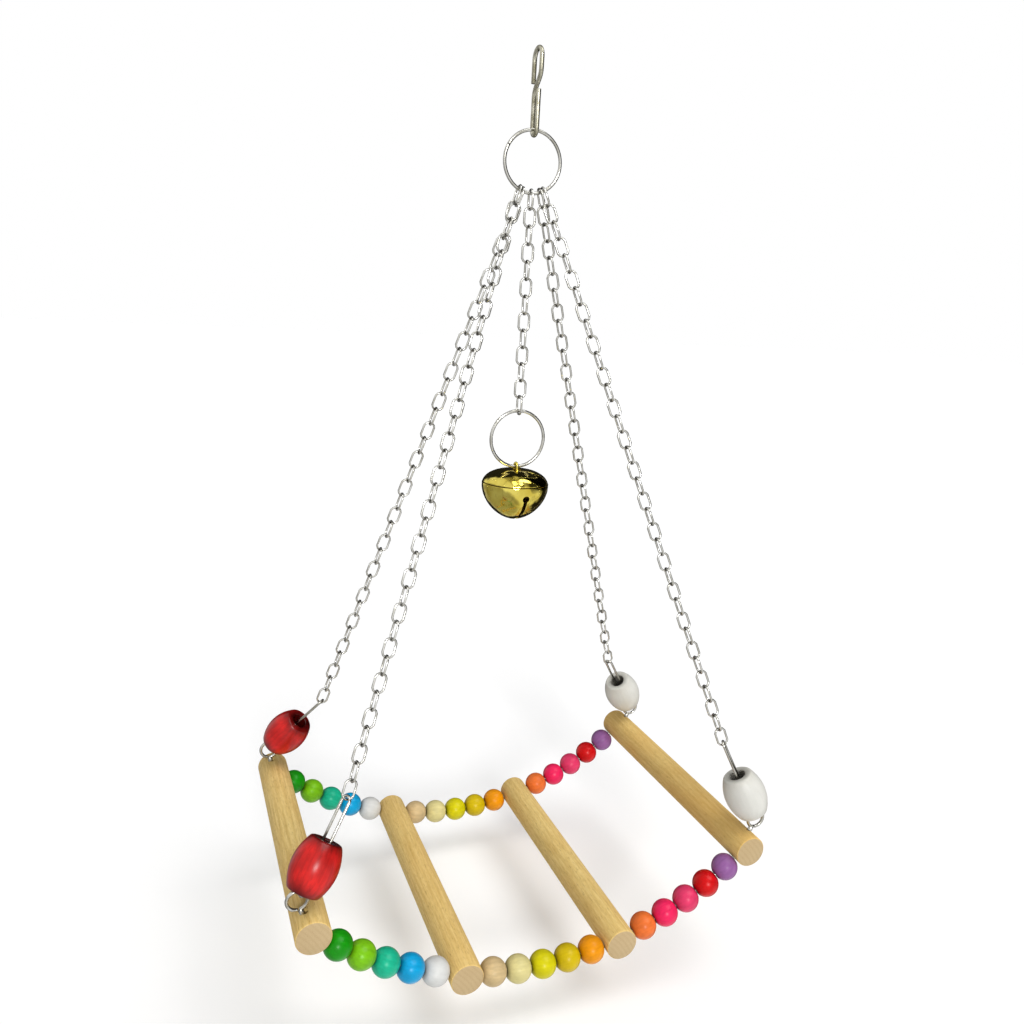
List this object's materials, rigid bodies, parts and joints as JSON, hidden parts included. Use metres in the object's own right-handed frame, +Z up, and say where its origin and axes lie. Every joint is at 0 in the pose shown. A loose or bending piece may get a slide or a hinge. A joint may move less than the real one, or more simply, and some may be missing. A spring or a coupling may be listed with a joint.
{
  "type": "small pet hanging hammock",
  "caption": "Hanging rung hammock for a small pet: wooden dowels and coloured beads on bent wires, held at the corners by chains from a ring and hook, with a jingle bell in the middle.",
  "frame": {"origin": "where a cage bar bears inside the top of the hook, on the object's middle line", "axes": "+X along the deck from the red barrel beads to the white ones, +Y along the dowels to the back row of beads, +Z up"},
  "size_m": [0.1837, 0.117, 0.3237],
  "materials": {
    "steel": "bright nickel plate on steel wire",
    "bell_brass": "polished, gold-coloured",
    "beech": "bare turned hardwood with lengthwise grain",
    "barrel_red": "satin dye and varnish over wood",
    "barrel_white": "satin paint over wood",
    "bead_green": "satin paint over wood",
    "bead_lime": "satin paint over wood",
    "bead_teal": "satin paint over wood",
    "bead_blue": "satin paint over wood",
    "bead_white": "satin paint over wood",
    "bead_natural": "clear varnish over wood",
    "bead_cream": "satin paint over wood",
    "bead_lemon": "satin paint over wood",
    "bead_gold": "satin paint over wood",
    "bead_amber": "satin paint over wood",
    "bead_orange": "satin paint over wood",
    "bead_pink": "satin paint over wood",
    "bead_rose": "satin paint over wood",
    "bead_red": "satin paint over wood",
    "bead_violet": "satin paint over wood"
  },
  "bodies": {
    "hook": {"hook": "steel"},
    "top_ring": {"top_ring": "steel"},
    "cradle": {"chain_front_left": "steel", "chain_back_left": "steel", "chain_front_right": "steel", "chain_back_right": "steel", "wire_loop_front_left": "steel", "wire_loop_back_left": "steel", "wire_loop_front_right": "steel", "wire_loop_back_right": "steel", "screw_eye_front_left": "steel", "screw_eye_back_left": "steel", "screw_eye_front_right": "steel", "screw_eye_back_right": "steel", "dowel_1": "beech", "dowel_2": "beech", "dowel_3": "beech", "dowel_4": "beech", "row_wire_front": "steel", "row_wire_back": "steel"},
    "bell_chain": {"bell_chain": "steel"},
    "bell_ring": {"bell_ring": "steel"},
    "bell": {"bell_loop": "bell_brass", "bell_upper_shell": "bell_brass", "bell_lower_shell": "bell_brass"},
    "clapper": {"bell_clapper": "steel"},
    "barrel_bead_front_left": {"barrel_bead_front_left": "barrel_red"},
    "barrel_bead_back_left": {"barrel_bead_back_left": "barrel_red"},
    "barrel_bead_front_right": {"barrel_bead_front_right": "barrel_white"},
    "barrel_bead_back_right": {"barrel_bead_back_right": "barrel_white"},
    "bead_front_01_green": {"bead_front_01_green": "bead_green"},
    "bead_front_02_lime": {"bead_front_02_lime": "bead_lime"},
    "bead_front_03_teal": {"bead_front_03_teal": "bead_teal"},
    "bead_front_04_blue": {"bead_front_04_blue": "bead_blue"},
    "bead_front_05_white": {"bead_front_05_white": "bead_white"},
    "bead_front_06_natural": {"bead_front_06_natural": "bead_natural"},
    "bead_front_07_cream": {"bead_front_07_cream": "bead_cream"},
    "bead_front_08_lemon": {"bead_front_08_lemon": "bead_lemon"},
    "bead_front_09_gold": {"bead_front_09_gold": "bead_gold"},
    "bead_front_10_amber": {"bead_front_10_amber": "bead_amber"},
    "bead_front_11_orange": {"bead_front_11_orange": "bead_orange"},
    "bead_front_12_pink": {"bead_front_12_pink": "bead_pink"},
    "bead_front_13_rose": {"bead_front_13_rose": "bead_rose"},
    "bead_front_14_red": {"bead_front_14_red": "bead_red"},
    "bead_front_15_violet": {"bead_front_15_violet": "bead_violet"},
    "bead_back_01_green": {"bead_back_01_green": "bead_green"},
    "bead_back_02_lime": {"bead_back_02_lime": "bead_lime"},
    "bead_back_03_teal": {"bead_back_03_teal": "bead_teal"},
    "bead_back_04_blue": {"bead_back_04_blue": "bead_blue"},
    "bead_back_05_white": {"bead_back_05_white": "bead_white"},
    "bead_back_06_natural": {"bead_back_06_natural": "bead_natural"},
    "bead_back_07_cream": {"bead_back_07_cream": "bead_cream"},
    "bead_back_08_lemon": {"bead_back_08_lemon": "bead_lemon"},
    "bead_back_09_gold": {"bead_back_09_gold": "bead_gold"},
    "bead_back_10_amber": {"bead_back_10_amber": "bead_amber"},
    "bead_back_11_orange": {"bead_back_11_orange": "bead_orange"},
    "bead_back_12_pink": {"bead_back_12_pink": "bead_pink"},
    "bead_back_13_rose": {"bead_back_13_rose": "bead_rose"},
    "bead_back_14_red": {"bead_back_14_red": "bead_red"},
    "bead_back_15_violet": {"bead_back_15_violet": "bead_violet"}
  },
  "joints": [
    {"name": "ring_swing", "type": "hinge", "parent": "hook", "child": "top_ring", "pos_m": [0, 0, -0.027], "axis": [0, 1, 0], "range_deg": [-35, 35]},
    {"name": "cradle_swing", "type": "hinge", "parent": "top_ring", "child": "cradle", "pos_m": [0, 0, -0.04528], "axis": [1, 0, 0], "range_deg": [-30, 30]},
    {"name": "bell_chain_swing", "type": "hinge", "parent": "top_ring", "child": "bell_chain", "pos_m": [0, 0, -0.0461], "axis": [1, 0, 0], "range_deg": [-35, 35]},
    {"name": "bell_ring_swing", "type": "hinge", "parent": "bell_chain", "child": "bell_ring", "pos_m": [0, 0, -0.1236], "axis": [0, 1, 0], "range_deg": [-30, 30]},
    {"name": "bell_swing", "type": "hinge", "parent": "bell_ring", "child": "bell", "pos_m": [0, 0, -0.1431], "axis": [1, 0, 0], "range_deg": [-40, 40]},
    {"name": "clapper_roll", "type": "hinge", "parent": "bell", "child": "clapper", "pos_m": [0, 0, -0.1504], "axis": [0, 1, 0], "range_deg": [-20, 20]},
    {"name": "barrel_front_left_slide", "type": "slide", "parent": "cradle", "child": "barrel_bead_front_left", "axis": [0.4984, 0.2799, 0.8205], "range_m": [0, 0.012]},
    {"name": "barrel_back_left_slide", "type": "slide", "parent": "cradle", "child": "barrel_bead_back_left", "axis": [0.5502, -0.411, 0.7269], "range_m": [0, 0.012]},
    {"name": "barrel_front_right_slide", "type": "slide", "parent": "cradle", "child": "barrel_bead_front_right", "axis": [-0.418, 0.1801, 0.8904], "range_m": [0, 0.012]},
    {"name": "barrel_back_right_slide", "type": "slide", "parent": "cradle", "child": "barrel_bead_back_right", "axis": [-0.52, -0.2481, 0.8173], "range_m": [0, 0.012]},
    {"name": "bead_front_01_green_spin", "type": "hinge", "parent": "cradle", "child": "bead_front_01_green", "pos_m": [-0.07463, -0.0535, -0.29159], "axis": [0.7911, 0, -0.6117], "continuous": true},
    {"name": "bead_front_02_lime_spin", "type": "hinge", "parent": "cradle", "child": "bead_front_02_lime", "pos_m": [-0.06673, -0.0535, -0.29721], "axis": [0.8372, 0, -0.5469], "continuous": true},
    {"name": "bead_front_03_teal_spin", "type": "hinge", "parent": "cradle", "child": "bead_front_03_teal", "pos_m": [-0.0584, -0.0535, -0.30219], "axis": [0.878, 0, -0.4787], "continuous": true},
    {"name": "bead_front_04_blue_spin", "type": "hinge", "parent": "cradle", "child": "bead_front_04_blue", "pos_m": [-0.04971, -0.0535, -0.30649], "axis": [0.9132, 0, -0.4075], "continuous": true},
    {"name": "bead_front_05_white_spin", "type": "hinge", "parent": "cradle", "child": "bead_front_05_white", "pos_m": [-0.0407, -0.0535, -0.31008], "axis": [0.9427, 0, -0.3336], "continuous": true},
    {"name": "bead_front_06_natural_spin", "type": "hinge", "parent": "cradle", "child": "bead_front_06_natural", "pos_m": [-0.01932, -0.0535, -0.31554], "axis": [0.9874, 0, -0.1583], "continuous": true},
    {"name": "bead_front_07_cream_spin", "type": "hinge", "parent": "cradle", "child": "bead_front_07_cream", "pos_m": [-0.00969, -0.0535, -0.31669], "axis": [0.9968, 0, -0.0794], "continuous": true},
    {"name": "bead_front_08_lemon_spin", "type": "hinge", "parent": "cradle", "child": "bead_front_08_lemon", "pos_m": [0, -0.0535, -0.31707], "axis": [1, 0, 0], "continuous": true},
    {"name": "bead_front_09_gold_spin", "type": "hinge", "parent": "cradle", "child": "bead_front_09_gold", "pos_m": [0.00969, -0.0535, -0.31669], "axis": [0.9968, 0, 0.0794], "continuous": true},
    {"name": "bead_front_10_amber_spin", "type": "hinge", "parent": "cradle", "child": "bead_front_10_amber", "pos_m": [0.01932, -0.0535, -0.31554], "axis": [0.9874, 0, 0.1583], "continuous": true},
    {"name": "bead_front_11_orange_spin", "type": "hinge", "parent": "cradle", "child": "bead_front_11_orange", "pos_m": [0.0407, -0.0535, -0.31008], "axis": [0.9427, 0, 0.3336], "continuous": true},
    {"name": "bead_front_12_pink_spin", "type": "hinge", "parent": "cradle", "child": "bead_front_12_pink", "pos_m": [0.04971, -0.0535, -0.30649], "axis": [0.9132, 0, 0.4075], "continuous": true},
    {"name": "bead_front_13_rose_spin", "type": "hinge", "parent": "cradle", "child": "bead_front_13_rose", "pos_m": [0.0584, -0.0535, -0.30219], "axis": [0.878, 0, 0.4787], "continuous": true},
    {"name": "bead_front_14_red_spin", "type": "hinge", "parent": "cradle", "child": "bead_front_14_red", "pos_m": [0.06673, -0.0535, -0.29721], "axis": [0.8372, 0, 0.5469], "continuous": true},
    {"name": "bead_front_15_violet_spin", "type": "hinge", "parent": "cradle", "child": "bead_front_15_violet", "pos_m": [0.07463, -0.0535, -0.29159], "axis": [0.7911, 0, 0.6117], "continuous": true},
    {"name": "bead_back_01_green_spin", "type": "hinge", "parent": "cradle", "child": "bead_back_01_green", "pos_m": [-0.07463, 0.0535, -0.29159], "axis": [0.7911, 0, -0.6117], "continuous": true},
    {"name": "bead_back_02_lime_spin", "type": "hinge", "parent": "cradle", "child": "bead_back_02_lime", "pos_m": [-0.06673, 0.0535, -0.29721], "axis": [0.8372, 0, -0.5469], "continuous": true},
    {"name": "bead_back_03_teal_spin", "type": "hinge", "parent": "cradle", "child": "bead_back_03_teal", "pos_m": [-0.0584, 0.0535, -0.30219], "axis": [0.878, 0, -0.4787], "continuous": true},
    {"name": "bead_back_04_blue_spin", "type": "hinge", "parent": "cradle", "child": "bead_back_04_blue", "pos_m": [-0.04971, 0.0535, -0.30649], "axis": [0.9132, 0, -0.4075], "continuous": true},
    {"name": "bead_back_05_white_spin", "type": "hinge", "parent": "cradle", "child": "bead_back_05_white", "pos_m": [-0.0407, 0.0535, -0.31008], "axis": [0.9427, 0, -0.3336], "continuous": true},
    {"name": "bead_back_06_natural_spin", "type": "hinge", "parent": "cradle", "child": "bead_back_06_natural", "pos_m": [-0.01932, 0.0535, -0.31554], "axis": [0.9874, 0, -0.1583], "continuous": true},
    {"name": "bead_back_07_cream_spin", "type": "hinge", "parent": "cradle", "child": "bead_back_07_cream", "pos_m": [-0.00969, 0.0535, -0.31669], "axis": [0.9968, 0, -0.0794], "continuous": true},
    {"name": "bead_back_08_lemon_spin", "type": "hinge", "parent": "cradle", "child": "bead_back_08_lemon", "pos_m": [0, 0.0535, -0.31707], "axis": [1, 0, 0], "continuous": true},
    {"name": "bead_back_09_gold_spin", "type": "hinge", "parent": "cradle", "child": "bead_back_09_gold", "pos_m": [0.00969, 0.0535, -0.31669], "axis": [0.9968, 0, 0.0794], "continuous": true},
    {"name": "bead_back_10_amber_spin", "type": "hinge", "parent": "cradle", "child": "bead_back_10_amber", "pos_m": [0.01932, 0.0535, -0.31554], "axis": [0.9874, 0, 0.1583], "continuous": true},
    {"name": "bead_back_11_orange_spin", "type": "hinge", "parent": "cradle", "child": "bead_back_11_orange", "pos_m": [0.0407, 0.0535, -0.31008], "axis": [0.9427, 0, 0.3336], "continuous": true},
    {"name": "bead_back_12_pink_spin", "type": "hinge", "parent": "cradle", "child": "bead_back_12_pink", "pos_m": [0.04971, 0.0535, -0.30649], "axis": [0.9132, 0, 0.4075], "continuous": true},
    {"name": "bead_back_13_rose_spin", "type": "hinge", "parent": "cradle", "child": "bead_back_13_rose", "pos_m": [0.0584, 0.0535, -0.30219], "axis": [0.878, 0, 0.4787], "continuous": true},
    {"name": "bead_back_14_red_spin", "type": "hinge", "parent": "cradle", "child": "bead_back_14_red", "pos_m": [0.06673, 0.0535, -0.29721], "axis": [0.8372, 0, 0.5469], "continuous": true},
    {"name": "bead_back_15_violet_spin", "type": "hinge", "parent": "cradle", "child": "bead_back_15_violet", "pos_m": [0.07463, 0.0535, -0.29159], "axis": [0.7911, 0, 0.6117], "continuous": true}
  ]
}
